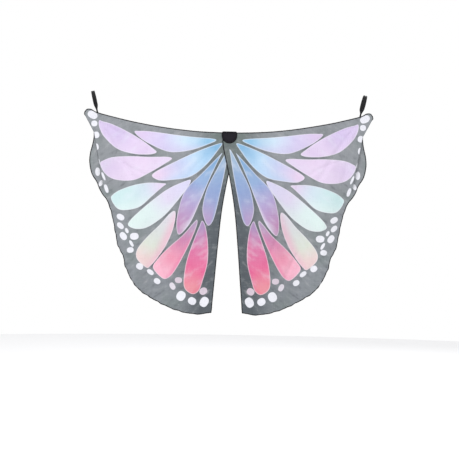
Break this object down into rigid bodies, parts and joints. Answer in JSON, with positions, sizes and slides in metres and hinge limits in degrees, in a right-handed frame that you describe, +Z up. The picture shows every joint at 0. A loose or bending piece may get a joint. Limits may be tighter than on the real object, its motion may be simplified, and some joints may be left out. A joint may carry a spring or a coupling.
{
  "type": "fairy wings",
  "caption": "Child's butterfly wings of printed fabric that fasten at the top of the back, with an elastic wrist loop at each top outer corner to spread them with the arms",
  "frame": {"origin": "centre of the hook tape's face that rests on the back of the dress", "axes": "+X to the wearer's right along the wing span, +Y the way the wearer faces, +Z up"},
  "size_m": [0.8374, 0.0989, 0.643],
  "materials": {
    "printed_fabric": "satin printed weave",
    "black_thread": "overlocked thread",
    "black_elastic": "ribbed elastic",
    "black_felt": "matt brushed",
    "hook_tape": "matt nylon hooks"
  },
  "bodies": {
    "sewn_centre": {"centre_patch": "black_felt", "patch_stitching": "black_thread", "hook_tape": "hook_tape", "right_sewn_strip": "printed_fabric", "left_sewn_strip": "printed_fabric", "right_strip_edging": "black_thread", "left_strip_edging": "black_thread"},
    "right_wing": {"right_wing_panel": "printed_fabric", "right_wing_edging": "black_thread", "right_loop_ends": "black_elastic", "right_loop_tack": "black_thread"},
    "left_wing": {"left_wing_panel": "printed_fabric", "left_wing_edging": "black_thread", "left_loop_ends": "black_elastic", "left_loop_tack": "black_thread"},
    "right_loop": {"right_wrist_loop": "black_elastic"},
    "left_loop": {"left_wrist_loop": "black_elastic"}
  },
  "joints": [
    {"name": "right_wing_swing", "type": "hinge", "parent": "sewn_centre", "child": "right_wing", "pos_m": [0.0225, -0.00445, 0], "axis": [0, 0, 1], "range_deg": [-35, 70]},
    {"name": "left_wing_swing", "type": "hinge", "parent": "sewn_centre", "child": "left_wing", "pos_m": [-0.0225, -0.00265, 0], "axis": [0, 0, -1], "range_deg": [-35, 70]},
    {"name": "right_loop_flop", "type": "hinge", "parent": "right_wing", "child": "right_loop", "pos_m": [0.38388, 0.0628, 0.07335], "axis": [-0.9744, 0, 0.225], "range_deg": [-85, 85]},
    {"name": "left_loop_flop", "type": "hinge", "parent": "left_wing", "child": "left_loop", "pos_m": [-0.38388, 0.0646, 0.07335], "axis": [-0.9744, 0, -0.225], "range_deg": [-85, 85]}
  ]
}
